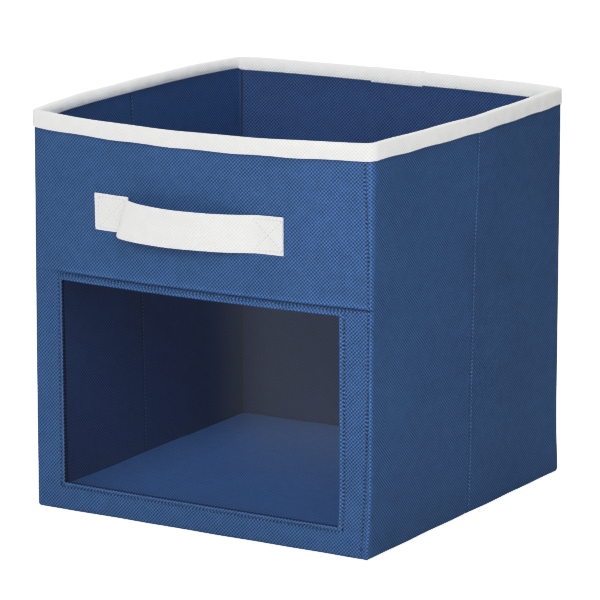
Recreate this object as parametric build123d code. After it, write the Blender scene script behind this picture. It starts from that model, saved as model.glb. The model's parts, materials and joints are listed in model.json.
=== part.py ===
from build123d import *
import os

# A collapsible fabric storage bin: four walls of chipboard sewn between two layers of non-woven
# fabric, a clear window and a strap handle in the front wall, bound rim, and a loose base board.
# Origin: centre of the underside. The front faces -Y, +X is to the right, +Z is up.

# Overall size, over the outer fabric
bin_width = 267.0
bin_depth = 267.0
bin_height = 280.0

# Layers of a wall
fabric = 0.8            # one layer of non-woven fabric
board = 1.6             # chipboard stiffener
board_inset = 2.0       # sewn border between a stiffener and the end of its wall
corner_round = 2.6      # outer upright corners

# Rim binding
tape = 0.8
rim_height = 11.4
overlap_length = 42.0   # where the tape's two ends lie over each other
overlap_centre = -3.5
overlap_hang = 1.2      # the outer end hangs a little lower than the tape

# Fold lines
hinge_clearance = 0.3   # between faces that close on each other at a fold line

# Bottom
seam_band_height = 10.1 # bottom edge of the bin, where walls and base fabric are sewn
seam_allowance = 12.0   # turned-in fabric inside that edge, under the base board
allowance_thickness = 5.4   # folded over three times, so the board lies on it with its edges
bottom_round = 2.4

# Loose base board
base_core = 2.2
base_cover = 0.6
base_play = 2.0         # between the board and the walls
base_corner = 5.0
stack_gap = 0.1         # between the board and what it lies on

# Window
window_width = 220.0
window_bottom = 20.6
window_height = 143.6
window_corner = 2.0
film = 0.5
hem = 7.0               # fabric turned in around the opening, which holds the film
panel_seam = 5.3        # from the opening up to the seam between upper panel and window frame

# Handle
strap_width = 26.0      # height of the strap on the wall
strap = 1.5
patch_length = 26.5     # sewn end of the strap
handle_centre = -2.9
handle_span = 97.0      # between the two sewn ends
handle_low = 4.45       # how far the strap sits below the middle of the upper panel
handle_gap = 0.5        # between the swinging loop and its fixed ends
loop_stand = 14.0       # how far the loop's centre line stands off the wall
loop_left = 5.0         # from the left sewn end to where the loop begins to swing
loop_right = 24.0       # the same at the right, where the strap comes back at a slant

# Stitching
thread = 0.6
thread_stand = 0.3      # how far a row of thread stands off its fabric
window_stitch = 3.2     # from the opening to the row round it
patch_stitch = 2.2      # from the edge of a sewn strap end to its row
corner_stitch = 3.0     # from a front corner to the upright row beside it

# Derived
wall = 2 * fabric + board
half_x = bin_width / 2
half_y = bin_depth / 2
wall_bottom = seam_band_height + hinge_clearance
wall_top = bin_height - tape
window_top = window_bottom + window_height
seam_level = window_top + panel_seam
strip_bottom = wall_bottom + board_inset
side_end = half_y - wall - tape - 2 * hinge_clearance   # side wall, where it meets front or back
side_start = hinge_clearance                            # side wall, at its centre fold
base_level = fabric + allowance_thickness + stack_gap
handle_middle = (seam_level + bin_height - rim_height) / 2 - handle_low


def slab(x0, x1, y0, y1, z0, z1):
    return Pos((x0 + x1) / 2, (y0 + y1) / 2, (z0 + z1) / 2) * Box(x1 - x0, y1 - y0, z1 - z0)


def plate(width, depth, z0, z1, radius):
    outline = RectangleRounded(width, depth, radius)
    return Pos(0, 0, z0) * extrude(outline, z1 - z0)


# End walls are built as the front wall, with the outer face at -half_y. The back is its mirror.

def endBlock(grow, z0, z1):
    block = slab(-half_x - grow, half_x + grow, -half_y - grow, -half_y + wall + grow, z0, z1)
    return fillet(block.edges().filter_by(Axis.Z).group_by(Axis.Y)[0], corner_round + grow)


def endFabric(z0, z1):
    pocket = slab(-half_x + fabric, half_x - fabric, -half_y + fabric, -half_y + wall, z0, z1)
    return endBlock(0, z0, z1) - pocket


def endLayer(x0, x1, z0, z1):
    return slab(x0, x1, -half_y + fabric, -half_y + fabric + board, z0, z1)


def endLining():
    reach = half_x - fabric
    return slab(-reach, reach, -half_y + fabric + board, -half_y + wall, wall_bottom, wall_top)


def endRim():
    low = bin_height - rim_height
    return endBlock(tape, low, bin_height) - endBlock(0, low, wall_top)


def windowPrism(grow, y0, y1):
    width, height = window_width + 2 * grow, window_height + 2 * grow
    outline = Plane.XZ * Pos(0, window_bottom + window_height / 2) * RectangleRounded(
        width, height, window_corner + grow)
    prism = extrude(outline, amount=y1 - y0)
    return Pos(0, y1, 0) * prism


def windowCut():
    return windowPrism(0, -half_y - tape, -half_y + wall + tape)


def windowFilm():
    return windowPrism(hem, -half_y + fabric, -half_y + fabric + film)


def windowHem():
    back = -half_y + fabric + board
    return windowPrism(hem, -half_y + fabric + film, back) - windowCut()


board_reach = half_x - fabric - board_inset
hem_reach = window_width / 2 + hem


def frontUpperBoard():
    return endLayer(-board_reach, board_reach, window_top + hem, wall_top)


def frameSideBoard(side):
    x0, x1 = sorted((side * hem_reach, side * board_reach))
    return endLayer(x0, x1, strip_bottom, window_top + hem)


def frameBottomBoard():
    return endLayer(-hem_reach, hem_reach, strip_bottom, window_bottom - hem)


def backBoard():
    return endLayer(-board_reach, board_reach, strip_bottom, wall_top)


# Side walls are built as the rear half of the right wall. The other three are its mirrors.

def sideFabric():
    shell = slab(half_x - wall, half_x, side_start, side_end, wall_bottom, wall_top)
    pocket = slab(half_x - wall, half_x - fabric, side_start + board_inset,
                  side_end - board_inset, wall_bottom, wall_top)
    cover = slab(half_x - wall, half_x - wall + fabric, side_start, side_end,
                 wall_bottom, wall_top)
    return shell - pocket - cover


def sideBoard():
    return slab(half_x - fabric - board, half_x - fabric, side_start + board_inset,
                side_end - board_inset, strip_bottom, wall_top)


def sideLining():
    return slab(half_x - wall, half_x - wall + fabric, side_start, side_end,
                wall_bottom, wall_top)


def sideRim():
    low = bin_height - rim_height
    outer = slab(half_x - wall - tape, half_x + tape, side_start, side_end, low, bin_height)
    return outer - slab(half_x - wall, half_x, side_start, side_end, low, wall_top)


def rimOverlap():
    # The tape's outer end: one more layer over the back rim
    x0, x1 = overlap_centre - overlap_length / 2, overlap_centre + overlap_length / 2
    y0, y1 = half_y - wall - tape, half_y + tape
    low = bin_height - rim_height - overlap_hang
    outer = slab(x0, x1, y0 - tape, y1 + tape, low, bin_height + tape)
    inner = slab(x0, x1, y0, y1, low + overlap_hang, bin_height)
    below = slab(x0, x1, half_y - wall, half_y, low, low + overlap_hang)
    sleeve = slab(x0, x1, y0, y1, low, low + overlap_hang)
    return outer - inner - below - sleeve


def baseFabric():
    sheet = plate(bin_width, bin_depth, 0, fabric + bottom_round, corner_round)
    sheet = fillet(sheet.faces().sort_by(Axis.Z)[0].edges(), bottom_round)
    return sheet - slab(-half_x, half_x, -half_y, half_y, fabric, fabric + bottom_round)


def baseSeamBand():
    ring = plate(bin_width, bin_depth, 0, seam_band_height, corner_round)
    ring = fillet(ring.faces().sort_by(Axis.Z)[0].edges(), bottom_round)
    ring -= slab(-half_x, half_x, -half_y, half_y, 0, fabric)
    return ring - slab(-half_x + wall, half_x - wall, -half_y + wall, half_y - wall,
                       0, seam_band_height)


def baseAllowance():
    outer_x, outer_y = half_x - wall, half_y - wall
    inner_x, inner_y = outer_x - seam_allowance, outer_y - seam_allowance
    top = fabric + allowance_thickness
    ring = slab(-outer_x, outer_x, -outer_y, outer_y, fabric, top)
    return ring - slab(-inner_x, inner_x, -inner_y, inner_y, fabric, top)


board_width = bin_width - 2 * (wall + tape + base_play)
board_depth = bin_depth - 2 * (wall + tape + base_play)
core_level = base_level + base_cover


def baseCore():
    return plate(board_width - 2 * base_cover, board_depth - 2 * base_cover,
                 core_level, core_level + base_core, base_corner - base_cover)


def baseCoverTop():
    top = core_level + base_core + base_cover
    block = plate(board_width, board_depth, core_level, top, base_corner)
    return block - baseCore()


def baseCoverUnder():
    return plate(board_width, board_depth, base_level, core_level, base_corner)


# Handle: a strap with its ends sewn flat to the wall and a loop between them that stands off

left_end = handle_centre - handle_span / 2
right_end = handle_centre + handle_span / 2
cut_left = left_end + loop_left
cut_right = right_end - loop_right


def strapProfile():
    # Plan of the strap between its sewn ends: it leaves the left end steeply, the right gently
    rest = -half_y - strap / 2
    out = -half_y - loop_stand
    return FilletPolyline(
        (left_end - patch_length, rest),
        (left_end + strap, rest),
        (left_end + strap, out),
        (left_end + handle_span * 0.45, out - strap),
        (right_end - handle_span * 0.24, out + 2 * strap),
        (right_end - 2 * strap, rest),
        (right_end + patch_length, rest),
        radius=(1.6 * strap, 4 * strap, 30 * strap, 20 * strap, 6 * strap),
    )


def strapBody():
    low = handle_middle - strap_width / 2
    return Pos(0, 0, low) * extrude(trace(strapProfile(), strap), strap_width)


def strapSpan(x0, x1):
    return strapBody() & slab(x0, x1, -half_y - 4 * loop_stand, -half_y, 0, bin_height)


def handleLeftEnd():
    return strapSpan(left_end - patch_length, cut_left)


def handleRightEnd():
    return strapSpan(cut_right, right_end + patch_length)


def handleLoop():
    return strapSpan(cut_left + handle_gap, cut_right - handle_gap)


def toBack(shape):
    return mirror(shape, about=Plane.XZ)


def windowStitching():
    face = -half_y - thread_stand
    ring = windowPrism(window_stitch + thread / 2, face, -half_y)
    return ring - windowPrism(window_stitch - thread / 2, face - tape, -half_y + tape)


def cornerStitching():
    x0, x1 = half_x - corner_stitch - thread / 2, half_x - corner_stitch + thread / 2
    rows = []
    for a, b in ((x0, x1), (-x1, -x0)):
        rows.append(slab(a, b, -half_y - thread_stand, -half_y, strip_bottom,
                         bin_height - rim_height))
    return Compound(rows)


def patchStitching(centre):
    # A square row with its two diagonals
    across = patch_length - 2 * patch_stitch
    up = strap_width - 2 * patch_stitch
    sketch = Rectangle(across, up) - Rectangle(across - 2 * thread, up - 2 * thread)
    lean = Vector(across, up).get_angle(Vector(1, 0))
    reach = (across**2 + up**2) ** 0.5 - 2 * thread
    sketch += Rot(0, 0, lean) * Rectangle(reach, thread)
    sketch += Rot(0, 0, -lean) * Rectangle(reach, thread)
    rows = extrude(Plane.XZ * sketch, amount=thread_stand)
    return Pos(centre, -half_y - strap, handle_middle) * rows


nodes = {
    "front_upper_fabric": endFabric(seam_level, wall_top),
    "window_frame_fabric": endFabric(wall_bottom, seam_level) - windowCut(),
    "front_lining": endLining() - windowCut(),
    "front_upper_board": frontUpperBoard(),
    "frame_left_board": frameSideBoard(-1),
    "frame_right_board": frameSideBoard(1),
    "frame_bottom_board": frameBottomBoard(),
    "window_film": windowFilm(),
    "window_hem": windowHem(),
    "front_rim_tape": endRim(),
    "handle_left_end": handleLeftEnd(),
    "handle_right_end": handleRightEnd(),
    "handle_loop": handleLoop(),
    "handle_left_stitching": patchStitching(left_end - patch_length / 2),
    "handle_right_stitching": patchStitching(right_end + patch_length / 2),
    "window_stitching": windowStitching(),
    "front_corner_stitching": cornerStitching(),
    "back_outer_fabric": toBack(endFabric(wall_bottom, wall_top)),
    "back_board": toBack(backBoard()),
    "back_lining": toBack(endLining()),
    "back_rim_tape": toBack(endRim()),
    "rim_tape_overlap": rimOverlap(),
    "base_fabric": baseFabric(),
    "base_seam_band": baseSeamBand(),
    "base_seam_allowance": baseAllowance(),
    "base_board_core": baseCore(),
    "base_board_cover": baseCoverTop(),
    "base_board_cover_under": baseCoverUnder(),
}

side_pieces = {
    "outer_fabric": sideFabric(),
    "board": sideBoard(),
    "lining": sideLining(),
    "rim_tape": sideRim(),
}
for piece, shape in side_pieces.items():
    nodes[f"right_rear_{piece}"] = shape
    nodes[f"right_front_{piece}"] = mirror(shape, about=Plane.XZ)
    nodes[f"left_rear_{piece}"] = mirror(shape, about=Plane.YZ)
    nodes[f"left_front_{piece}"] = Rot(0, 0, 180) * shape

os.makedirs("parts", exist_ok=True)
for name, shape in nodes.items():
    solids = shape.solids()
    export_step(solids[0] if len(solids) == 1 else Compound(solids), f"parts/{name}.step")
    print(name, len(solids), round(shape.volume))
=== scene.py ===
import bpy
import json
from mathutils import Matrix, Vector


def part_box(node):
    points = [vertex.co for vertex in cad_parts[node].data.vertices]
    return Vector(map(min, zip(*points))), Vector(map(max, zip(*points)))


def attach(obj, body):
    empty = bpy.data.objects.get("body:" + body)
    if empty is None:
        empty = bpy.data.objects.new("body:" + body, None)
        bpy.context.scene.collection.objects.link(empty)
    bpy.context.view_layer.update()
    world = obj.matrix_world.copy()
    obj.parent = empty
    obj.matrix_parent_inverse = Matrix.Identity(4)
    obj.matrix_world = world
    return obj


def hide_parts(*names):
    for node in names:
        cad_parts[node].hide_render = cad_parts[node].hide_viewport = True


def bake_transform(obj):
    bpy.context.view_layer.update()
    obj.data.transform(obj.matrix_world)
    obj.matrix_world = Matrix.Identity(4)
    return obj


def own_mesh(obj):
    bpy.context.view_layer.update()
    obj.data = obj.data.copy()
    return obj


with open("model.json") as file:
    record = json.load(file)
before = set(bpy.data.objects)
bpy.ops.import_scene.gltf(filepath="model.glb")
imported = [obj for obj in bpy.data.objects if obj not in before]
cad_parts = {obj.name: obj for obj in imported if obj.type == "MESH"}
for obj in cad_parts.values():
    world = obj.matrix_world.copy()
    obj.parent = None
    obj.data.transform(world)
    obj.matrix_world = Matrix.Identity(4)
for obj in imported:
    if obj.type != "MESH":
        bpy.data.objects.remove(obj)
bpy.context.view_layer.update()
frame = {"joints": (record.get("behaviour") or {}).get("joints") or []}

import json
import math
import random

import bpy
import numpy as np
from mathutils import Vector

mm = 0.001

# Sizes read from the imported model, in mm
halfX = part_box("back_outer_fabric")[1].x / mm
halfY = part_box("back_outer_fabric")[1].y / mm
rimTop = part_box("back_rim_tape")[1].z / mm
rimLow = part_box("back_rim_tape")[0].z / mm
wallThick = (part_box("back_outer_fabric")[1].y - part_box("back_outer_fabric")[0].y) / mm
hemBox = [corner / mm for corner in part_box("window_hem")]
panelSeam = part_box("window_frame_fabric")[1].z / mm
boardBox = [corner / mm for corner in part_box("base_board_cover")]
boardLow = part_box("base_board_cover_under")[0].z / mm
patchLeft = [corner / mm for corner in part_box("handle_left_stitching")]
patchRight = [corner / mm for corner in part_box("handle_right_stitching")]
hemWidth = 7.0
windowX = hemBox[1].x - hemWidth
windowLow = hemBox[0].z + hemWidth
windowTop = hemBox[1].z - hemWidth

# How the soft walls stand: each list goes front, right, back, left
form = {
    "bow": [11.2, 5.8, 9.0, 11.9],      # outward at the middle of the rim
    "bowPower": [2.0, 1.15, 3.0, 3.0],  # near 1 is a crease at the middle, 3 is flat with round ends
    "bowAtFoot": 0.15,
    "dip": [-2.5, -0.2, -0.3, -0.2],    # how the middle of the rim lies against its corners
    "flare": [0.0, 0.6, 1.2, 0.1],
    "cornerLift": [-1.3, 0.2, -1.0, -0.6],  # front left, front right, back right, back left
    "cornerFoot": 1.5,                  # upright corners' radius at the floor and the rim
    "cornerRim": 5.6,
    "footRound": 2.8,
    "footPull": [-2.4, 1.4],            # the right wall's foot, outward at its front and its rear end
    "footPullHeight": 26.0,
}

starts = np.array([-halfX, halfX, halfX + 2 * halfY, 3 * halfX + 2 * halfY])
perimeter = 4 * (halfX + halfY)
alongAxis = np.array([[1, 0], [0, 1], [-1, 0], [0, -1]])
outAxis = np.array([[0, -1], [1, 0], [0, 1], [-1, 0]])


# A point of the wall: s runs round the bin in mm, 0 at the front's middle and on to the right,
# z is the height and off the distance outside the outer face
def wallPoints(s, z, off):
    s, z, off = [np.array(a, float) for a in np.broadcast_arrays(s, z, off)]
    s = (s + halfX) % perimeter - halfX
    side = np.clip(np.searchsorted(starts, s, side="right") - 1, 0, 3)
    half = np.where(side % 2 == 0, halfX, halfY)
    reach = np.where(side % 2 == 0, halfY, halfX)
    t = s - (starts[side] + half)
    v = t / half
    rise = np.clip(z / rimTop, 0, 1.02)
    radius = form["cornerFoot"] + (form["cornerRim"] - form["cornerFoot"]) * rise**2
    flat = half - radius
    u = v * (flat + radius * math.pi / 4)
    turn = np.clip((np.abs(u) - flat) / radius, 0, math.pi / 4)
    way = np.sign(u)
    inset = form["footRound"] - np.sqrt(
        np.maximum(form["footRound"]**2 - np.maximum(form["footRound"] - z, 0)**2, 0))
    level = form["bowAtFoot"] + (1 - form["bowAtFoot"]) * rise**2.1
    level = level * np.clip(z / 12, 0, 1)
    bow = np.array(form["bow"])[side] * (1 - np.abs(v)**np.array(form["bowPower"])[side])
    push = off - inset
    bend = np.maximum(radius + push, 0.3)       # the corner's own radius at this depth
    along = way * (np.minimum(np.abs(u), flat) * (half + push - bend) / flat + bend * np.sin(turn))
    out = reach + push - bend + bend * np.cos(turn) + bow * level
    x = along * alongAxis[side, 0] + out * outAxis[side, 0]
    y = along * alongAxis[side, 1] + out * outAxis[side, 1]
    front, right, back, left = form["flare"]
    x = x * (1 + rise**2.1 * np.where(x > 0, right, left) / halfX)
    y = y * (1 + rise**2.1 * np.where(y > 0, back, front) / halfY)
    a, b = (x / halfX + 1) / 2, (y / halfY + 1) / 2
    pull = form["footPull"][0] + (form["footPull"][1] - form["footPull"][0]) * np.clip(b, 0, 1)
    x = x + pull * np.clip(a, 0, 1)**3 * np.exp(-(z / form["footPullHeight"])**2)
    frontLeft, frontRight, backRight, backLeft = form["cornerLift"]
    lift = (frontLeft * (1 - a) + frontRight * a) * (1 - b) + (backLeft * (1 - a) + backRight * a) * b
    lift = lift + np.array(form["dip"])[side] * (1 - v**2)
    return np.stack([x, y, z + lift * rise**3], -1) * mm


# Builds an object from points and faces, with its flat pattern as UVs and an optional map of painted shade
# (painted highlight where it is below 0)
def makeMesh(name, points, faces, uvs=None, material=None, smooth=True, painted_shade=None):
    mesh = bpy.data.meshes.new(name)
    mesh.from_pydata([tuple(p) for p in points], [], faces)
    if uvs is not None:
        layer = mesh.uv_layers.new(name="flat")
        index = np.array([loop.vertex_index for loop in mesh.loops])
        layer.data.foreach_set("uv", np.asarray(uvs, np.float32)[index].ravel())
    if painted_shade is not None:
        folds = mesh.attributes.new("painted_shade", "FLOAT", "POINT")
        folds.data.foreach_set("value", np.asarray(painted_shade, np.float32))
    mesh.update()
    piece = bpy.data.objects.new(name, mesh)
    bpy.context.scene.collection.objects.link(piece)
    if material:
        mesh.materials.append(material)
    if smooth:
        mesh.shade_smooth()
        mesh.set_sharp_from_angle(angle=math.radians(50))
    return piece


# A closed sheet over a grid of stations: skip leaves cells out, relief moves the outer face, shift moves both,
# shade gives the outer face its painted shade (painted highlight below 0) and back gives the inner face an even
# painted shade
def gridSheet(name, ss, zs, outer, inner, material, skip=None, relief=None, shade=None, shift=None, back=None):
    ns, nz = len(ss), len(zs)
    gridS, gridZ = np.meshgrid(ss, zs, indexing="ij")
    moved = shift(gridS, gridZ) if shift else 0 * gridS
    rise = relief(gridS, gridZ) if relief else 0 * gridS
    top = wallPoints(gridS.ravel(), gridZ.ravel(), (outer + moved + rise).ravel())
    under = wallPoints(gridS.ravel(), gridZ.ravel(), (inner + moved).ravel())
    points = np.concatenate([top, under])
    uvs = np.stack([gridS.ravel(), gridZ.ravel()], -1) * mm
    uvs = np.concatenate([uvs, uvs])
    dark = shade(gridS.ravel(), gridZ.ravel()) if shade else np.zeros(gridS.size)
    dark = np.concatenate([dark, dark if back is None else np.full(len(dark), back)])
    keep = np.ones((ns - 1, nz - 1), bool)
    if skip:
        for i in range(ns - 1):
            for j in range(nz - 1):
                keep[i, j] = not skip((ss[i] + ss[i + 1]) / 2, (zs[j] + zs[j + 1]) / 2)
    below = ns * nz     # from a point of the outer face to the one behind it
    faces = []

    def at(i, j):
        return i * nz + j

    def held(i, j):
        return 0 <= i < ns - 1 and 0 <= j < nz - 1 and keep[i, j]

    for i in range(ns - 1):
        for j in range(nz - 1):
            if not keep[i, j]:
                continue
            a, b, c, d = at(i, j), at(i + 1, j), at(i + 1, j + 1), at(i, j + 1)
            faces.append((a, b, c, d))
            faces.append((d + below, c + below, b + below, a + below))
            for p, q, other in ((a, b, held(i, j - 1)), (b, c, held(i + 1, j)),
                                (c, d, held(i, j + 1)), (d, a, held(i - 1, j))):
                if not other:
                    faces.append((q, p, p + below, q + below))
    used = sorted({v for face in faces for v in face})
    renumber = {v: k for k, v in enumerate(used)}
    faces = [tuple(renumber[v] for v in face) for face in faces]
    return makeMesh(name, points[used], faces, uvs[used], material, painted_shade=dark[used])


# Faces over rings of count points laid one after another, with a cap at each end
def skin(layers, count):
    faces = []
    for layer in range(layers - 1):
        for i in range(count):
            a, b = layer * count + i, layer * count + (i + 1) % count
            faces.append((a, b, b + count, a + count))
    faces.append(tuple(range(count))[::-1])
    faces.append(tuple((layers - 1) * count + i for i in range(count)))
    return faces


# A closed band: a profile of (z, off) points carried along s
def band(name, ss, profile, material, wobble=None):
    count = len(profile)
    points, uvs = [], []
    girth = np.cumsum([0] + [math.dist(profile[k], profile[(k + 1) % count]) for k in range(count)])
    for i, s in enumerate(ss):
        extra = wobble(s) if wobble else np.zeros((count, 2))
        prof = np.array(profile) + extra
        points.append(wallPoints(np.full(count, s), prof[:, 0], prof[:, 1]))
        uvs += [(s * mm, girth[k] * mm) for k in range(count)]
    faces = [face[::-1] for face in skin(len(ss), count)]
    return makeMesh(name, np.concatenate(points), faces, uvs, material)


# Places from lo to hi about a step apart, with the extra ones that lie between them
def stations(lo, hi, step, extra=()):
    count = max(2, int(round((hi - lo) / step)) + 1)
    values = set(np.round(np.linspace(lo, hi, count), 4)) | {round(v, 4) for v in extra if lo < v < hi}
    ordered = sorted(values)
    kept = [ordered[0]]
    for v in ordered[1:]:
        if v - kept[-1] > 0.05:     # closer than that they would make slivers
            kept.append(v)
    return np.array(kept)


def newMaterial(name):
    material = bpy.data.materials.new(name)
    material.use_nodes = True
    tree = material.node_tree
    tree.nodes.clear()
    return material, tree


def node(tree, kind, inputs=(), **settings):
    made = tree.nodes.new(kind)
    for key, value in settings.items():
        setattr(made, key, value)
    for key, value in dict(inputs).items():
        socket = made.inputs[key]
        if isinstance(value, bpy.types.NodeSocket):
            tree.links.new(value, socket)
        else:
            socket.default_value = value
    return made


def maths(tree, operation, a, b=0.0):
    return node(tree, "ShaderNodeMath", {0: a, 1: b}, operation=operation).outputs[0]


def mixed(tree, factor, first, second, clamp=True):
    return node(tree, "ShaderNodeMix", {0: factor, 6: first, 7: second},
                data_type="RGBA", clamp_factor=clamp).outputs[2]


def surface(tree, shader):
    node(tree, "ShaderNodeOutputMaterial", {"Surface": shader.outputs[0]})


def noiseOver(tree, vector, scale, detail, output=0):
    return node(tree, "ShaderNodeTexNoise", {"Vector": vector, "Scale": scale, "Detail": detail}).outputs[output]


# A display colour, 0 to 255, as the linear one that a shader takes
def linear(rgb):
    return tuple((c / 255 / 12.92 if c <= 10 else ((c / 255 + 0.055) / 1.055)**2.4) for c in rgb) + (1.0,)


# Embossed non-woven: a lattice of small raised points with sunk gaps between them, laid out on the flat
# pattern in the UVs, over fine fibres and slow unevenness
def nonWoven(name, look):
    material, tree = newMaterial(name)
    uv = node(tree, "ShaderNodeUVMap", uv_map="flat").outputs[0]
    soft = noiseOver(tree, uv, 260.0, 2.0, "Color")
    bend = node(tree, "ShaderNodeVectorMath", {0: soft, 1: (0.5, 0.5, 0.5)}, operation="SUBTRACT").outputs[0]
    bend = node(tree, "ShaderNodeVectorMath", {0: bend, "Scale": look["warp"] * mm}, operation="SCALE")
    warped = node(tree, "ShaderNodeVectorMath", {0: uv, 1: bend.outputs[0]}, operation="ADD").outputs[0]
    split = node(tree, "ShaderNodeSeparateXYZ", {0: warped})
    turn = 2 * math.pi / (look["cell"] * mm)
    across = maths(tree, "COSINE", maths(tree, "MULTIPLY", split.outputs[0], turn))
    up = maths(tree, "COSINE", maths(tree, "MULTIPLY", split.outputs[1], turn))
    dots = maths(tree, "MULTIPLY", maths(tree, "MULTIPLY", across, up), 0.5)    # -0.5 to 0.5
    fibre = noiseOver(tree, uv, 1100.0, 3.0)
    mottle = noiseOver(tree, uv, 130.0, 2.0)
    cloud = noiseOver(tree, uv, 14.0, 4.0)
    value = maths(tree, "MULTIPLY", dots, look["contrast"])
    for noise, part in ((fibre, "fibre"), (mottle, "mottle"), (cloud, "cloud")):
        swing = maths(tree, "MULTIPLY", maths(tree, "SUBTRACT", noise, 0.5), look[part])
        value = maths(tree, "ADD", value, swing)
    value = maths(tree, "ADD", value, 0.5)
    tone = mixed(tree, value, linear(look["dark"]), linear(look["light"]), clamp=False)
    # Painted shade from the mesh is mixed in towards the look's third colour
    sunk = node(tree, "ShaderNodeAttribute", attribute_name="painted_shade").outputs["Fac"]
    shaded = mixed(tree, sunk, tone, linear(look["painted_shade"]), clamp=False)   # painted shade; below 0 it lightens into a painted highlight on a ridge
    height = maths(tree, "ADD", dots, maths(tree, "MULTIPLY", fibre, 0.35))
    bump = node(tree, "ShaderNodeBump", {"Height": height, "Strength": 1.0, "Distance": look["depth"] * mm})
    rough = maths(tree, "ADD", maths(tree, "MULTIPLY", dots, -0.16), look["rough"])
    shader = node(tree, "ShaderNodeBsdfPrincipled", {
        "Base Color": shaded, "Roughness": rough, "Normal": bump.outputs[0],
        "Specular IOR Level": look["specular"], "Sheen Weight": look["sheen"], "Sheen Roughness": 0.45,
        "Sheen Tint": linear(look["light"])})
    surface(tree, shader)
    return material


# Each look's third colour is the colour that painted shade mixes towards
navyLook = {"dark": (1, 16, 52), "light": (68, 112, 168), "painted_shade": (4, 12, 35), "cell": 2.56, "warp": 0.42,
            "contrast": 1.15, "fibre": 0.8, "mottle": 0.22, "cloud": 0.16, "depth": 0.14, "rough": 0.62,
            "specular": 0.26, "sheen": 0.01}
whiteLook = {"dark": (206, 205, 203), "light": (255, 255, 254), "painted_shade": (120, 119, 118), "cell": 2.56,
             "warp": 0.3, "contrast": 0.9, "fibre": 0.9, "mottle": 0.5, "cloud": 0.4, "depth": 0.16,
             "rough": 0.6, "specular": 0.3, "sheen": 0.02}
navy = nonWoven("NavyNonWoven", navyLook)
# The lining is the navy in darker tones, painted shade inside the bin; the board cover is the navy a little
# lighter and bluer
lining = nonWoven("NavyLining", {**navyLook, "dark": (2, 13, 46), "light": (59, 94, 150), "depth": 0.1})
boardCover = nonWoven("NavyBoardCover", {**navyLook, "dark": (3, 19, 57), "light": (67, 115, 180), "depth": 0.1})
white = nonWoven("WhiteNonWoven", whiteLook)


def threadMaterial(name, colour, darker):
    material, tree = newMaterial(name)
    coord = node(tree, "ShaderNodeTexCoord").outputs["Object"]
    twist = noiseOver(tree, coord, 1600.0, 2.0)
    tone = mixed(tree, twist, linear(darker), linear(colour))
    bump = node(tree, "ShaderNodeBump", {"Height": twist, "Strength": 0.4, "Distance": 0.1 * mm})
    shader = node(tree, "ShaderNodeBsdfPrincipled", {
        "Base Color": tone, "Normal": bump.outputs[0], "Roughness": 0.6})
    surface(tree, shader)
    return material


navyThread = threadMaterial("NavyThread", (104, 146, 196), (48, 82, 136))
# The needle holes are dark thread: painted shade in the holes
holeShade = threadMaterial("NeedleHoles", (20, 38, 76), (12, 24, 52))
whiteThread = threadMaterial("WhiteThread", (176, 176, 176), (120, 120, 121))


def boardMaterial():
    material, tree = newMaterial("Chipboard")
    coord = node(tree, "ShaderNodeTexCoord").outputs["Object"]
    grain = noiseOver(tree, coord, 500.0, 4.0)
    tone = mixed(tree, grain, linear((120, 112, 100)), linear((176, 168, 152)))
    shader = node(tree, "ShaderNodeBsdfPrincipled", {"Base Color": tone, "Roughness": 0.9})
    surface(tree, shader)
    return material


chipboard = boardMaterial()


# Clear film: nearly open, with a faint reflection, a thin cloudiness painted as a glow, and a painted reflection
# of a soft light that makes the glow stronger towards one side
filmLook = {
    "glowAmount": 0.006, "reflectionGlow": 0.022, "glowStrength": 1.15, "glowColour": (196, 196, 198),
    "reflectionFrom": (0.004, 0.03), "reflectionFull": (0.06, 0.1),     # across and up the film, in metres
    "shine": 0.006, "rough": 0.2, "tint": (0.84, 0.86, 0.88, 1),
}


def filmMaterial():
    material, tree = newMaterial("ClearFilm")
    uv = node(tree, "ShaderNodeUVMap", uv_map="flat").outputs[0]
    waves = noiseOver(tree, uv, 9.0, 2.0)
    bump = node(tree, "ShaderNodeBump", {"Height": waves, "Strength": 0.3, "Distance": 3 * mm})
    split = node(tree, "ShaderNodeSeparateXYZ", {0: uv})
    across, upward = [node(tree, "ShaderNodeMapRange", {
        0: split.outputs[k], 1: filmLook["reflectionFrom"][k], 2: filmLook["reflectionFull"][k]},
        interpolation_type="SMOOTHSTEP").outputs[0] for k in (0, 1)]
    # Where the painted reflection of a soft light lies on the film
    reflectionMask = maths(tree, "MULTIPLY", across, upward)
    reflectionMask = maths(tree, "MULTIPLY", reflectionMask, maths(tree, "ADD", maths(tree, "MULTIPLY", waves, 0.6), 0.7))
    glowAmount = maths(tree, "ADD", maths(tree, "MULTIPLY", reflectionMask, filmLook["reflectionGlow"]), filmLook["glowAmount"])
    clear = node(tree, "ShaderNodeBsdfTransparent", {"Color": filmLook["tint"]})
    # The cloudiness and the painted reflection are sent out as a glow
    glowShader = node(tree, "ShaderNodeEmission", {
        "Color": linear(filmLook["glowColour"]), "Strength": filmLook["glowStrength"]})
    shine = node(tree, "ShaderNodeBsdfGlossy", {
        "Color": (1, 1, 1, 1), "Normal": bump.outputs[0], "Roughness": filmLook["rough"]})
    both = node(tree, "ShaderNodeMixShader", {0: glowAmount, 1: clear.outputs[0], 2: glowShader.outputs[0]})
    whole = node(tree, "ShaderNodeMixShader", {0: filmLook["shine"], 1: both.outputs[0], 2: shine.outputs[0]})
    surface(tree, whole)
    return material


clearFilm = filmMaterial()
print("materials made")


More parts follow.
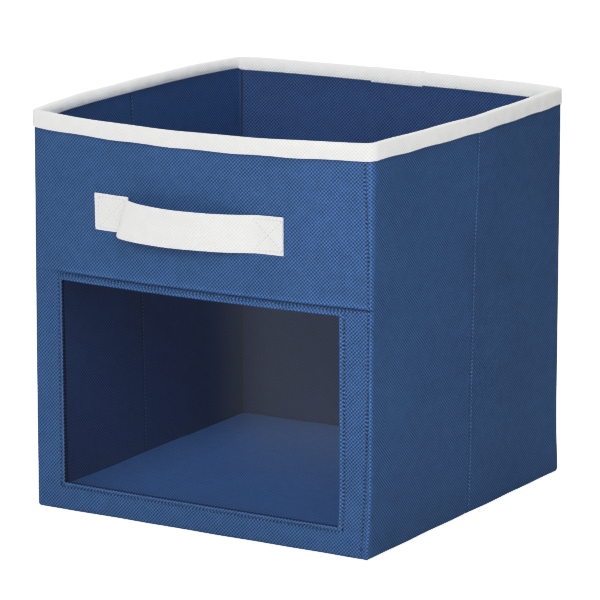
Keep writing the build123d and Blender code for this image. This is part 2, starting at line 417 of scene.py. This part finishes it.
# Stitches: short capsules laid along each row and sunk at their ends; all the rows given go in one mesh
def stitchMesh(name, rows, material, look):
    points, faces = [], []
    rng = random.Random(name)
    for path, normals in rows:
        steps = np.linalg.norm(np.diff(path, axis=0), axis=1)
        length = np.concatenate([[0], np.cumsum(steps)])
        total = length[-1]
        count = max(1, int(total / (look["pitch"] * mm)))
        for i in range(count):
            centre = (i + 0.5 - look.get("start", 0) * (1 if i else 0)) / count * total
            half = look["length"] * mm / 2 * rng.uniform(0.88, 1.08)
            ends = [np.array([np.interp(d, length, path[:, k]) for k in range(3)])
                    for d in (max(0, centre - half), min(total, centre + half))]
            n = np.array([np.interp(centre, length, normals[:, k]) for k in range(3)])
            n = n / (np.linalg.norm(n) + 1e-12)
            d = ends[1] - ends[0]
            d = d / (np.linalg.norm(d) + 1e-12)
            side = np.cross(n, d)
            base = len(points)
            sway = rng.uniform(-0.08, 0.08) * mm
            for share, size, lift in ((0, 0.35, -0.25), (0.22, 1, 0.25), (0.78, 1, 0.25), (1, 0.35, -0.25)):
                mid = ends[0] + (ends[1] - ends[0]) * share + side * sway
                w = look["width"] * mm / 2 * size
                for q in range(6):
                    angle = math.pi / 3 * q
                    points.append(mid + side * (math.cos(angle) * w)
                                  + n * (math.sin(angle) * w * 0.8 + lift * look["width"] * mm))
            for k in range(3):
                for q in range(6):
                    a, b = base + k * 6 + q, base + k * 6 + (q + 1) % 6
                    faces.append((a, b, b + 6, a + 6))
            faces.append(tuple(base + q for q in range(6))[::-1])
            faces.append(tuple(base + 18 + q for q in range(6)))
    return makeMesh(name, points, faces, None, material)


# A row on the wall between two (s, z) points, straight unless wander gives its s at each height
def wallRow(start, end, off, steps=60, wander=None):
    s, z = np.linspace(start[0], end[0], steps), np.linspace(start[1], end[1], steps)
    if wander:
        s = wander(z)
    path = wallPoints(s, z, off)
    return path, wallPoints(s, z, off + 1.0) - path


# The walls
halfSide = halfX + halfY            # s of the right wall's middle
leftMiddle = 3 * halfSide
backMiddle = 2 * halfSide
wall = {
    "fabric": 0.8, "step": 6.0,
    "bottom": 0.15, "top": rimTop - 1.4, "stiffenerLow": 8.6, "liningLow": 2.0,
    "turnIn": 6.0,          # cloth turned in at the foot
    "seamRidge": 0.55,      # raised fold along the front's sewn corner
    "seamGroove": 0.75,     # sunk line of that corner's stitching
    "seamHeights": [0, 11, 51, 105, 165, 199, 255, 280],
    "seamFrom": [5.4, 5.3, 4.6, 2.8, 2.5, 2.5, 4.8, 5.0],   # from the corner to its stitching, at each height
}
spans = {
    "front": (-halfX, halfX),
    "right_front": (halfX, halfSide), "right_rear": (halfSide, halfX + 2 * halfY),
    "back": (halfX + 2 * halfY, 3 * halfX + 2 * halfY),
    "left_rear": (3 * halfX + 2 * halfY, leftMiddle), "left_front": (leftMiddle, perimeter - halfX),
}
bodyOf = {"front": "front_wall", "back": "back_wall", **{
    p: p + "_panel" for p in ("right_front", "right_rear", "left_rear", "left_front")}}
corners = [-halfX, halfX, halfX + 2 * halfY, 3 * halfX + 2 * halfY, perimeter - halfX]
middles = [halfSide, leftMiddle]
cornerSteps = (-9, -7, -6, -5, -4.4, -4, -3.6, -3.3, -3, -2.7, -2.4, -2, -1.5, -1, -0.5, 0, 0.5, 1, 1.5, 2,
               2.5, 3.2, 4, 5, 6, 7.5, 9)
middleSteps = (-4, -3, -2.4, -2, -1.6, -1.2, -0.8, -0.4, 0.4, 0.8, 1.2, 1.6, 2, 2.4, 3, 4)


# Closer stations at the corners and down the middle of each side
def cornerStations():
    return [c + d for c in corners for d in cornerSteps] + [m + d for m in middles for d in middleSteps]


def nearest(s, places):
    return np.min([np.abs(s - place) for place in places], axis=0)


def bump(distance, width):
    return np.exp(-(distance / width)**2)


def seamAt(z):
    return halfX - np.interp(z, wall["seamHeights"], wall["seamFrom"])


# Slow unevenness of a soft wall between its stiff edges, the fold and stitched groove of the front's right
# corner, and the shallow valley down the middle of each side
def wallRelief(s, z):
    ripple = 0.45 * np.sin(s * 0.043 + 1.3) * np.sin(z * 0.031 + 0.4) + 0.22 * np.sin(s * 0.11 + z * 0.07)
    near, valley = nearest(s, corners), nearest(s, middles)
    ridge = wall["seamRidge"] * bump(s - halfX + 0.8, 0.8) - wall["seamGroove"] * bump(s - seamAt(z), 0.75)
    under = np.clip((rimLow + 1.0 - z) / 3, 0, 1)   # flat under the rim tape
    puckers = 0.12 * np.sin(z * 1.1) * bump(s - seamAt(z), 2.4)
    return (ripple * np.clip(near / 25, 0, 1) - 0.45 * bump(valley, 1.1) + ridge + puckers) * under


# Painted shade in the corner's stitched groove, down the middle of each side and just under the rim tape, with a
# painted highlight on the corner's fold
def wallShade(s, z):
    valley = nearest(s, middles)
    corner = 0.15 * bump(s - seamAt(z), 0.7) + 0.2 * bump(valley, 0.6) - 0.3 * bump(s - halfX + 0.8, 0.8)
    return np.clip(corner + 0.35 * bump(z - rimLow, 1.6), -0.4, 1)


def innerShade(s, z):
    return 0.5 * bump(nearest(s, corners), 1.2) + 0.3 * bump(nearest(s, middles), 0.7)


# Rides a piece on its body, gives it its own mesh when a squash is given, and hides the nodes it stands for
def finish(piece, body, slotName, *nodes, squash=None):
    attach(piece, body)
    if squash:
        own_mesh(piece)
    if nodes:
        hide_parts(*nodes)
    return piece


# Axis, anchor at the fold and share to keep, for pressing the halves of the side walls flat as the bin folds;
# here they only make finish give each piece its own mesh
pivotX = [joint["pos_m"][0] for joint in frame["joints"] if joint["name"] == "fold"][0]
squashRight = {"axis": (1, 0, 0), "anchor": (pivotX, 0, 0), "keep": 0.42}
squashLeft = {"axis": (1, 0, 0), "anchor": (-pivotX, 0, 0), "keep": 0.32}
squashOf = {"right_front": squashRight, "right_rear": squashRight,
            "left_rear": squashLeft, "left_front": squashLeft}
footHeights = [0.15, 0.4, 0.8, 1.3, 1.9, 2.6, 3.4, 4.4, 5.5, 7.0, 10.0]
rimHeights = [rimLow + d for d in (-2.4, -1.2, -0.4, 0.4, 1.2)]

for name, (lo, hi) in spans.items():
    if name == "front":
        continue
    ss = stations(lo, hi, wall["step"], cornerStations())
    heights = stations(wall["bottom"], wall["top"], wall["step"], footHeights + rimHeights)
    outer = gridSheet(name + "_outer", ss, heights, 0.0, -wall["fabric"], navy,
                      relief=wallRelief, shade=wallShade)
    core = gridSheet(name + "_stiffener", stations(lo + 2.2, hi - 2.2, 12),
                     stations(wall["stiffenerLow"], wall["top"], 20),
                     -wall["fabric"] - 0.15, -wallThick + wall["fabric"] + 0.1, chipboard)
    inner = gridSheet(name + "_inner", stations(lo + 0.4, hi - 0.4, wall["step"], cornerStations()),
                      stations(wall["liningLow"], wall["top"], wall["step"]),
                      -wallThick + wall["fabric"], -wallThick, lining, shade=innerShade)
    squash = squashOf.get(name)
    finish(outer, bodyOf[name], "navy_fabric", name + "_outer_fabric", squash=squash)
    finish(inner, bodyOf[name], "navy_lining", name + "_lining", squash=squash)
    finish(core, bodyOf[name], "chipboard", name + "_board", squash=squash)


# A thin dark tube down each inside corner: painted shade where the walls meet
def tubeMesh(name, path, radius, material, sides=8):
    points = []
    for k, centre in enumerate(path):
        small = radius * (0.5 if k in (0, len(path) - 1) else 1)
        points += [centre + np.array([math.cos(a) * small, math.sin(a) * small, 0])
                   for a in np.linspace(0, 2 * math.pi, sides, endpoint=False)]
    return makeMesh(name, points, skin(len(path), sides), None, material)


cornerShadeTube = {"radius": 0.5, "low": 6.0, "underRim": 10.5, "inward": 0.2, "steps": 40}
for name, at, body in (("rear_left", corners[3], "back_wall"), ("rear_right", corners[2], "back_wall"),
                       ("front_left", corners[0], "front_wall"), ("front_right", corners[1], "front_wall")):
    heights = np.linspace(cornerShadeTube["low"], rimTop - cornerShadeTube["underRim"], cornerShadeTube["steps"])
    path = wallPoints(np.full(cornerShadeTube["steps"], at), heights, -wallThick)
    path = path - np.sign(path) * np.array([cornerShadeTube["inward"], cornerShadeTube["inward"], 0]) * mm
    bead = tubeMesh(name + "_inside_corner_shade", path, cornerShadeTube["radius"] * mm, holeShade)
    finish(bead, body, "navy_lining")
print("side and back walls made")

# The front wall: upper panel, window frame with its folded edge, film
front = {
    "groove": 0.9,          # sunk seam between the upper panel and the frame
    "edgeRoll": 0.9,        # turned edge of the opening stands a little proud
    "stitchFromEdge": 3.4,
}
edgeSteps = (0, 0.4, 0.8, 1.3, 1.9, 2.5, 2.9, 3.2, 3.6, 4.0, 4.6, 5.6)
topSteps = (0, 0.4, 0.8, 1.3, 1.9, 2.5, 3.0, 3.5, 4.0, 4.3)
seamSteps = (0.4, 0.8, 1.3, 1.9, 2.6, 3.4, 4.4)
sFrame = stations(-halfX, halfX, 6,
                  cornerStations() + [sign * (windowX + d) for d in edgeSteps for sign in (1, -1)])
zFrame = stations(wall["bottom"], panelSeam, 6, footHeights + [windowLow - d for d in edgeSteps]
                  + [windowTop + d for d in topSteps])


def windowSkip(s, z):
    return abs(s) < windowX and windowLow < z < windowTop


# Distance from the opening, in the plane of the wall
def fromWindow(s, z):
    return np.maximum(np.abs(s) - windowX, np.maximum(windowLow - z, z - windowTop))


# The seam over the window fades towards the left edge
def seamStrength(s):
    return 0.2 + 0.8 * np.clip((s + windowX + 6) / 14, 0, 1)


def frameRelief(s, z):
    away = fromWindow(s, z)
    sides = np.clip((windowTop + 1.5 - z) / 1.5, 0, 1)
    roll = front["edgeRoll"] * bump(away - 1.0, 1.0)
    dent = -0.6 * bump(away - front["stitchFromEdge"], 0.55) * sides
    seam = -front["groove"] * bump(z - panelSeam, 0.9) * seamStrength(s)
    calm = np.where(np.abs(s) > windowX + 12, 1, np.clip(away / 20, 0, 1))
    return wallRelief(s, z) * calm + roll + dent + seam


# Painted shade in the stitched dent round the opening, where the cloth turns in and in the seam above, with a
# painted highlight on the rolled edge
def frameShade(s, z):
    away = fromWindow(s, z)
    sides = np.clip((windowTop + 1.5 - z) / 1.5, 0, 1)
    dent = 0.22 * bump(away - front["stitchFromEdge"], 0.55) * sides
    edge = np.where(away < 0.2, 0.8, -0.25 * bump(away - 0.9, 0.9))     # painted shade where the cloth turns in, painted highlight on the roll beyond
    return np.clip(wallShade(s, z) + dent + edge + 0.5 * bump(z - panelSeam, 1.2) * seamStrength(s), -0.4, 1)


def upperRelief(s, z):
    over = 0.75 * bump(z - panelSeam - 2.0, 1.5) * seamStrength(s)
    seam = -front["groove"] * bump(z - panelSeam, 0.7) * seamStrength(s)
    return wallRelief(s, z) + over + seam


# Painted shade in the seam under the upper panel, and a painted highlight on the lip just above it
def upperShade(s, z):
    lip = -0.2 * bump(z - panelSeam - 2.2, 1.2)
    return np.clip(wallShade(s, z) + (0.55 * bump(z - panelSeam, 0.7) + lip) * seamStrength(s), -0.4, 1)


# The frame's inner face carries an even painted shade
frameSheet = gridSheet("window_frame", sFrame, zFrame, 0.0, -wall["fabric"], navy, skip=windowSkip,
                       relief=frameRelief, shade=frameShade, back=0.85)
finish(frameSheet, "front_wall", "navy_fabric", "window_frame_fabric")
upper = gridSheet("front_upper_panel", stations(-halfX, halfX, 5, cornerStations()),
                  stations(panelSeam, wall["top"], 5, [panelSeam + d for d in seamSteps] + rimHeights),
                  0.0, -wall["fabric"], navy, relief=upperRelief, shade=upperShade)
finish(upper, "front_wall", "navy_fabric", "front_upper_fabric")


# The lining closes on the film round the opening
def pinch(s, z):
    away = fromWindow(s, z)
    return 0.9 * bump(np.clip(away, 0, None), 6)


def innerEdgeShade(s, z):
    return 0.9 * bump(np.clip(fromWindow(s, z), 0, None), 1.0)


frontInner = gridSheet("front_inner", sFrame,
                       stations(wall["liningLow"], wall["top"], 6, [windowLow, windowTop]),
                       -wallThick + wall["fabric"], -wallThick, lining, skip=windowSkip, shift=pinch,
                       shade=innerEdgeShade)
finish(frontInner, "front_wall", "navy_lining", "front_lining")
openX, openLow, openTop = windowX + hemWidth, windowLow - hemWidth, windowTop + hemWidth
frameCore = gridSheet("front_stiffener", stations(-halfX + 3, halfX - 3, 12, [-openX, openX]),
                      stations(wall["stiffenerLow"], wall["top"], 20, [openLow, openTop]),
                      -wall["fabric"] - 0.1, -wallThick + wall["fabric"] + 0.1, chipboard,
                      skip=lambda s, z: abs(s) < openX and openLow < z < openTop)
finish(frameCore, "front_wall", "chipboard", "front_upper_board", "frame_left_board", "frame_right_board",
       "frame_bottom_board")
# The hem is painted in full shade on both faces
hem = gridSheet("window_hem_fold", stations(-openX, openX, 6, [-windowX, windowX]),
                stations(openLow, openTop, 6, [windowLow, windowTop]),
                -1.1, -1.45, navy, skip=windowSkip, shade=lambda s, z: 0.95 + 0 * s, back=0.95)
finish(hem, "front_wall", "navy_fabric", "window_hem")

filmLap = 6.0
film = gridSheet("clear_window", stations(-windowX - filmLap, windowX + filmLap, 8),
                 stations(windowLow - filmLap, windowTop + filmLap, 8), -0.85, -1.05, clearFilm)
finish(film, "front_wall", "clear_film", "window_film")
print("front wall made")

# The tape bound over the rim
lapBox = [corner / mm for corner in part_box("rim_tape_overlap")]
rim = {
    "stand": 0.75, "outside": rimTop - rimLow, "inside": 9.4,
    "leftBulge": 0.35,      # the tape stands further off at the front's left corner
    "leftShort": 1.6,       # and reaches less far down inside the left wall
    "overlapAt": backMiddle - (lapBox[0].x + lapBox[1].x) / 2,
    "overlapLength": lapBox[1].x - lapBox[0].x,
}


def tapeProfile(outHeight, inHeight, stand, lift=0.0):
    t = wallThick
    outer = [(rimTop - outHeight, stand * 0.75), (rimTop - outHeight + 0.5, stand + 0.1),
             (rimTop - outHeight * 0.5, stand)]
    for k in range(1, 8):       # over the top, squarer than a half circle
        angle = math.pi * k / 8
        up, across = math.sin(angle)**0.6, abs(math.cos(angle))**0.6 * (1 if k < 4 else -1)
        outer.append((rimTop - 1.5 + (1.5 + lift) * up, -t / 2 + (t / 2 + stand) * across))
    outer += [(rimTop - inHeight * 0.5, -t - stand), (rimTop - inHeight + 0.5, -t - stand - 0.1),
              (rimTop - inHeight, -t - stand * 0.75)]
    inner = [(rimTop - inHeight, -t + 0.1), (rimTop - 2.4, -t + 0.1), (rimTop - 2.4, -0.1),
             (rimTop - outHeight, -0.1)]
    return outer + inner


# Slow waves in the tape's edges and its top
def tapeWobble(count):
    def shift(s):
        extra = np.zeros((count, 2))
        wave = 0.22 * math.sin(s * 0.19) + 0.16 * math.sin(s * 0.47 + 1.0)
        extra[:3, 1] += wave * 0.5
        extra[-7:-4, 1] -= wave * 0.4
        extra[:2, 0] += 0.25 * math.sin(s * 0.13 + 0.7)
        extra[3:10, 0] += 0.15 * math.sin(s * 0.09)
        around = min(abs(s + halfX), abs(s - perimeter + halfX))
        extra[:7, 1] += rim["leftBulge"] * math.exp(-(around / 9)**2)
        onLeft = min(max((s - corners[3]) / 6, 0), max((corners[4] - s) / 6, 0), 1)
        extra[10:14, 0] += np.array([0.5, 1, 1, 1]) * rim["leftShort"] * onLeft
        return extra
    return shift


profile = tapeProfile(rim["outside"], rim["inside"], rim["stand"])
for name, (lo, hi) in spans.items():
    ss = stations(lo, hi, 2.5, cornerStations())
    tapePiece = band(name + "_rim", ss, profile, white, tapeWobble(len(profile)))
    finish(tapePiece, bodyOf[name], "white_tape", name + "_rim_tape", squash=squashOf.get(name))
lapProfile = tapeProfile(rim["outside"] + 0.8, rim["inside"] + 0.9, rim["stand"] + 0.55, 0.5)
lapHalf = rim["overlapLength"] / 2
lapSs = stations(rim["overlapAt"] - lapHalf, rim["overlapAt"] + lapHalf, 2.5)
lap = band("rim_overlap", lapSs, lapProfile, white, tapeWobble(len(lapProfile)))
finish(lap, "back_wall", "white_tape", "rim_tape_overlap")
print("rim tape made")

# The base fabric and the loose base board
base = {"thick": 0.8, "edge": 3.5}


# Rings from the centre out to the wall's foot, then a short upturned edge
def baseSheet():
    ss = stations(-halfX, perimeter - halfX, 8, [c + d for c in corners for d in (-6, -4, -2, 0, 2, 4, 6)])[:-1]
    rings = []
    for share in (0.0, 0.2, 0.4, 0.6, 0.8, 0.93):
        edgePts = wallPoints(ss, np.full(len(ss), 0.0), np.full(len(ss), -0.6)) * np.array([1, 1, 0])
        pts = edgePts * max(share, 0.001)
        pts[:, 2] = 0.0
        rings.append(pts)
    for z, off in ((0.0, -0.6), (0.5, -0.75), (1.6, -0.95), (3.0, -1.0), (base["edge"] + 1, -1.0)):
        pts = wallPoints(ss, np.full(len(ss), z), np.full(len(ss), off))
        pts[:, 2] = z * mm
        rings.append(pts)
    over = []
    for k, ring in enumerate(rings):
        lift = ring.copy()
        if k < 6:
            lift[:, 2] += base["thick"] * mm
        else:
            lift[:, :2] *= 1 - base["thick"] / halfX
            lift[:, 2] += base["thick"] * mm * (1 if k < 8 else 0.0)
        over.append(lift)
    count = len(ss)
    points = np.concatenate(rings + over[::-1])
    uvs = points[:, :2].copy()
    layers = len(rings) * 2
    faces = []
    for layer in range(layers - 1):
        for i in range(count):
            j = (i + 1) % count
            a, b = layer * count + i, layer * count + j
            faces.append((a, a + count, b + count, b))
    faces.append(tuple(range(count))[::-1])
    last = (layers - 1) * count
    faces.append(tuple(last + i for i in range(count)))
    faces = [face[::-1] for face in faces]
    return makeMesh("base_fabric_sheet", points, faces, uvs, navy)


baseFabric = baseSheet()
finish(baseFabric, "back_wall", "navy_fabric", "base_fabric", "base_seam_band", "base_seam_allowance",
       squash={"axis": (0, 1, 0), "anchor": (0, halfY * mm, 0), "keep": 0.11})

boardLook = {"corner": 6.0, "wave": 0.5, "lift": 1.4}


# A flat board in a cover that bulges a little and waves on top
def baseBoard():
    hx, hy, r = boardBox[1].x, boardBox[1].y, boardLook["corner"]
    zLow, zHigh = boardLow, boardBox[1].z + boardLook["lift"]
    ss = []
    for cx, cy, a0 in ((hx - r, -hy + r, -90), (hx - r, hy - r, 0),
                       (-hx + r, hy - r, 90), (-hx + r, -hy + r, 180)):
        for k in range(7):
            a = math.radians(a0 + 15 * k)
            ss.append((cx + r * math.cos(a), cy + r * math.sin(a), math.cos(a), math.sin(a)))
    outline = []
    for i in range(len(ss)):
        p, q = ss[i], ss[(i + 1) % len(ss)]
        outline.append(p)
        gap = math.hypot(q[0] - p[0], q[1] - p[1])
        if gap > 20:
            for k in range(1, 24):
                w = k / 24
                outline.append(tuple(p[m] + (q[m] - p[m]) * w for m in range(2)) + (p[2], p[3]))
    outline = np.array(outline)
    count = len(outline)
    mid = (zLow + zHigh) / 2
    half = (zHigh - zLow) / 2
    rings = []
    shrink = [0.02, 0.25, 0.5, 0.72, 0.88, 0.96]
    for share in shrink:
        rings.append((outline[:, :2] * share, zLow))
    for k in range(0, 9):
        a = -math.pi / 2 + math.pi * k / 8
        inset = half * (1 - math.cos(a)) * 0.8
        rings.append((outline[:, :2] - outline[:, 2:] * inset, mid + half * math.sin(a)))
    for share in shrink[::-1]:
        rings.append((outline[:, :2] * share, zHigh))
    points = []
    for flat, z in rings:
        p = np.zeros((count, 3))
        p[:, :2] = flat
        wave = np.sin(flat[:, 0] * 0.036 + 0.7) * np.sin(flat[:, 1] * 0.042 + 0.2)
        wave = wave + 0.5 * np.sin(flat[:, 0] * 0.09 - flat[:, 1] * 0.05)
        side = np.clip((z - mid) / half, 0, 1)
        p[:, 2] = z + boardLook["wave"] * wave * side
        points.append(p * mm)
    points = np.concatenate(points)
    uvs = points[:, :2].copy()
    return makeMesh("base_board_cover_fabric", points, skin(len(rings), count), uvs, boardCover)


coverPiece = baseBoard()
finish(coverPiece, "base_board", "navy_lining", "base_board_cover", "base_board_cover_under", "base_board_core")
print("base made")

# Stations along the strap: x, how far the top and the bottom edge stand off the wall, and their heights
handle = {
    "thick": 1.3,
    "length": 163.0, "width": 26.0,     # the strap laid flat
    "bendsFrom": 15.0, "bendsTo": 21.5,     # off the wall, where it would begin to swing and where it would swing fully; the script doesn't swing it
    "stations": [
        # x top, x bottom, stand top, stand bottom, z top, z bottom
        (-78.8, -78.8, 0.9, 0.9, 229.6, 204.0),
        (-70.0, -70.0, 1.0, 1.0, 229.6, 204.0),
        (-62.0, -62.0, 1.0, 1.0, 229.6, 204.0),
        (-55.0, -55.5, 1.0, 1.0, 229.6, 204.0),
        (-51.5, -54.2, 1.2, 1.6, 229.6, 204.0),
        (-49.8, -55.0, 2.6, 4.4, 229.6, 204.0),
        (-49.0, -55.2, 4.8, 8.0, 229.4, 203.9),
        (-46.8, -54.0, 7.4, 11.6, 229.0, 203.6),
        (-42.0, -49.6, 9.6, 14.2, 228.6, 203.0),
        (-34.0, -39.5, 11.8, 15.6, 228.2, 202.4),
        (-22.0, -25.0, 13.2, 15.4, 227.8, 201.7),
        (-8.0, -9.5, 13.6, 14.6, 227.4, 201.3),
        (6.0, 5.4, 13.0, 13.4, 227.4, 201.4),
        (18.0, 17.8, 11.4, 11.6, 227.3, 201.4),
        (28.0, 28.0, 8.8, 9.0, 227.2, 201.3),
        (36.0, 36.0, 5.6, 5.8, 227.1, 201.2),
        (42.0, 42.0, 3.0, 3.2, 227.1, 201.2),
        (46.5, 46.5, 1.5, 1.5, 227.2, 201.2),
        (51.0, 51.0, 1.0, 1.0, 227.4, 201.4),
        (60.0, 60.0, 0.9, 0.9, 227.5, 201.3),
        (70.2, 69.8, 0.9, 0.9, 227.4, 201.2),
    ],
}


# A smooth run through the stations, with the spacing of its knots taken into account
def strapCurve(table, steps):
    table = np.array(table)
    knots = np.concatenate([[0], np.cumsum(np.linalg.norm(np.diff(table[:, [0, 2]], axis=0), axis=1) + 0.01)])
    where = []
    for k in range(len(knots) - 1):
        where += list(np.linspace(knots[k], knots[k + 1], steps, endpoint=False))
    where.append(knots[-1])
    rows = []
    for w in where:
        k = int(np.clip(np.searchsorted(knots, w, side="right") - 1, 0, len(knots) - 2))
        u = (w - knots[k]) / (knots[k + 1] - knots[k])
        p1, p2 = table[k], table[k + 1]
        p0 = table[max(k - 1, 0)]
        p3 = table[min(k + 2, len(table) - 1)]
        h = knots[k + 1] - knots[k]
        m1 = (p2 - p0) / (knots[k + 1] - knots[max(k - 1, 0)]) * h
        m2 = (p3 - p1) / (knots[min(k + 2, len(knots) - 1)] - knots[k]) * h
        rows.append((2 * u**3 - 3 * u**2 + 1) * p1 + (u**3 - 2 * u**2 + u) * m1
                    + (-2 * u**3 + 3 * u**2) * p2 + (u**3 - u**2) * m2)
    return np.array(rows)


def strapMesh():
    rows = strapCurve(handle["stations"], 4)
    top = wallPoints(rows[:, 0], rows[:, 4], rows[:, 2])
    low = wallPoints(rows[:, 1], rows[:, 5], rows[:, 3])
    across = 9
    mid = (top + low) / 2
    tangent = np.gradient(mid, axis=0)
    upWay = top - low
    normal = np.cross(tangent, upWay)
    normal = normal / np.linalg.norm(normal, axis=1)[:, None]
    half = handle["thick"] * mm / 2
    length = np.concatenate([[0], np.cumsum(np.linalg.norm(np.diff(mid, axis=0), axis=1))])
    width = np.linalg.norm(upWay, axis=1).mean()
    points, uvs = [], []
    shares = [0.5 - 0.5 * math.cos(math.pi * k / (across - 1)) for k in range(across)]
    count = 2 * across
    for i in range(len(rows)):
        for side in (1, -1):
            order = shares if side == 1 else shares[::-1]
            for share in order:
                edgeFade = min(share, 1 - share)
                swell = half * (1 if edgeFade > 0.03 else 0.45)
                points.append(low[i] + upWay[i] * share + normal[i] * side * swell)
                uvs.append((length[i], share * width))
    return makeMesh("handle_strap", points, skin(len(rows), count), uvs, white)


strap = strapMesh()
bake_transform(strap)
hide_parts("handle_left_end", "handle_right_end", "handle_loop")
print("handle made")

# Sewn rows: threads with a needle hole between each two, each hole a dark mark of painted shade
navyStitch = {"pitch": 2.75, "length": 1.5, "width": 0.75}
holeStitch = {"pitch": 2.75, "length": 1.3, "width": 1.05, "start": 0.5}
whiteStitch = {"pitch": 2.6, "length": 1.7, "width": 0.55}


def navyRows(name, body, rows, nodes=(), squash=None, wander=None, holes=True):
    threads = stitchMesh(name + "_stitches", [wallRow(a, b, off, wander=wander) for a, b, off in rows],
                         navyThread, navyStitch)
    finish(threads, body, "navy_thread", *nodes, squash=squash)
    if not holes:
        return
    holes = stitchMesh(name + "_needle_holes", [wallRow(a, b, off + 0.1, wander=wander) for a, b, off in rows],
                       holeShade, holeStitch)
    finish(holes, body, "navy_thread", squash=squash)


seamS = halfX - 3
around = front["stitchFromEdge"]
navyRows("corner", "front_wall", [((seamS, 6), (seamS, rimLow), -0.6)], ["front_corner_stitching"], wander=seamAt)
navyRows("window", "front_wall", [
    ((-windowX - around, windowLow - around), (-windowX - around, windowTop), -0.5),
    ((windowX + around, windowLow - around), (windowX + around, windowTop), -0.5),
    ((-windowX - around, windowLow - around), (windowX + around, windowLow - around), -0.5),
    ((-windowX - 2, panelSeam - 1.6), (halfX - 5, panelSeam - 1.6), -0.1)], ["window_stitching"])
inwards = -wallThick - 0.05
for label, at, squash in (("right", halfSide + 1.2, squashRight), ("left", leftMiddle - 1.2, squashLeft)):
    body = label + "_rear_panel"
    navyRows(label + "_middle", body, [((at, 6), (at, rimLow), -0.2)], squash=squash, holes=False)
    navyRows(label + "_middle_inside", body, [((at, 12), (at, rimLow + 1), inwards)], squash=squash)


# A box and a cross of stitches over each sewn end of the strap
def patchRows(label, box, zShift, nodeName):
    x0, x1, z0, z1 = box[0].x, box[1].x, box[0].z + zShift, box[1].z + zShift
    lines = [((x0, z1), (x1, z1)), ((x0, z0), (x1, z0)), ((x0, z0), (x0, z1)), ((x1, z0), (x1, z1)),
             ((x0, z0), (x1, z1)), ((x0, z1), (x1, z0))]
    rows = [wallRow(a, b, 0.9 + handle["thick"] / 2 - 0.05, 12) for a, b in lines]
    piece = stitchMesh(label + "_patch_stitches", rows, whiteThread, whiteStitch)
    finish(piece, "front_wall", "white_thread", nodeName)


patchRows("left", patchLeft, 2.1, "handle_left_stitching")
patchRows("right", patchRight, -0.2, "handle_right_stitching")
print("stitching made")

# Camera, light and floor; the focal length counts the frame as 600 wide
camera = {"place": (1.33365, -2.22462, 0.71772), "azimuth": 30.965, "down": 12.636, "focal": 3803.97,
          "frame": 600, "sensor": 36.0}


def makeCamera():
    data = bpy.data.cameras.new("camera")
    data.sensor_width = camera["sensor"]
    data.lens = camera["focal"] / camera["frame"] * camera["sensor"]
    data.clip_start, data.clip_end = 0.1, 50
    thing = bpy.data.objects.new("camera", data)
    a, e = math.radians(camera["azimuth"]), math.radians(camera["down"])
    look = Vector((-math.sin(a) * math.cos(e), math.cos(a) * math.cos(e), -math.sin(e)))
    thing.location = camera["place"]
    thing.rotation_mode = "QUATERNION"
    thing.rotation_quaternion = look.to_track_quat("-Z", "Y")
    bpy.context.scene.collection.objects.link(thing)
    bpy.context.scene.camera = thing


makeCamera()

light = {
    "world": 0.06, "aim": (0, 0, 0.14),
    "boxes": {      # place, size, power
        "key": ((0.55, -0.8, 0.62), 0.5, 5.4), "right": ((1.5, -0.9, 0.9), 0.9, 2.4),
        "front": ((0.1, -1.9, 0.9), 0.9, 12.0), "top": ((0.0, 0.0, 2.0), 1.0, 22.0),
        "rear": ((0.0, 1.9, 0.9), 0.9, 14.0), "left": ((-1.9, 0.05, 0.9), 0.9, 14.0),
    },
    "matt": ("rear", "left"),   # these leave no gloss on the walls
}


def softBox(name, place, size, power):
    data = bpy.data.lights.new(name, "AREA")
    data.energy, data.size = power, size
    thing = bpy.data.objects.new(name, data)
    thing.location = place
    thing.rotation_mode = "QUATERNION"
    thing.rotation_quaternion = (Vector(light["aim"]) - Vector(place)).to_track_quat("-Z", "Y")
    thing.visible_glossy = name not in light["matt"]
    bpy.context.scene.collection.objects.link(thing)


for part, (place, size, power) in light["boxes"].items():
    softBox(part, place, size, power)
world = bpy.data.worlds.new("studio")
world.use_nodes = True
world.node_tree.nodes["Background"].inputs[0].default_value = (1, 1, 1, 1)
world.node_tree.nodes["Background"].inputs[1].default_value = light["world"]
bpy.context.scene.world = world

# The floor the camera sees is kept bright, and the one just under it only throws light back up
floorLook = {"white": 0.93, "lift": 1.5, "bounce": 0.9, "reach": 9, "seenZ": -0.0005, "bounceZ": -0.0015}


def floorPlane(name, z, white, lift):
    material, tree = newMaterial(name)
    shader = node(tree, "ShaderNodeBsdfPrincipled", {
        "Base Color": (white, white, white, 1), "Roughness": 0.8, "Specular IOR Level": 0.1,
        "Emission Color": (1, 1, 1, 1), "Emission Strength": lift})
    surface(tree, shader)
    reach = floorLook["reach"]
    edge = [(-reach, -reach, z), (reach, -reach, z), (reach, reach, z), (-reach, reach, z)]
    plane = makeMesh(name, edge, [(0, 1, 2, 3)], None, material, smooth=False)
    return plane


seenFloor = floorPlane("floor", floorLook["seenZ"], floorLook["white"], floorLook["lift"])
seenFloor.visible_diffuse = seenFloor.visible_glossy = seenFloor.visible_shadow = False
bounceFloor = floorPlane("floor_bounce", floorLook["bounceZ"], floorLook["bounce"], 0.0)
bounceFloor.visible_camera = bounceFloor.visible_glossy = False

# Film response: straight for the blues, with the whites rolled off below the floor's white
response = {
    "whiteLevel": 1.6,
    "points": [(0.0, 0.0), (0.12, 0.192), (0.2, 0.32), (0.28, 0.53), (0.39, 0.69), (0.62, 0.815), (1.0, 1.0)],
}
viewSettings = bpy.context.scene.view_settings
viewSettings.view_transform = "Standard"
viewSettings.use_curve_mapping = True
mapping = viewSettings.curve_mapping
mapping.white_level = (response["whiteLevel"],) * 3
curve = mapping.curves[3]
while len(curve.points) < len(response["points"]):
    curve.points.new(0.5, 0.5)
for point, place in zip(curve.points, response["points"]):
    point.location = place
    point.handle_type = "AUTO_CLAMPED"
mapping.update()
print("stage made")
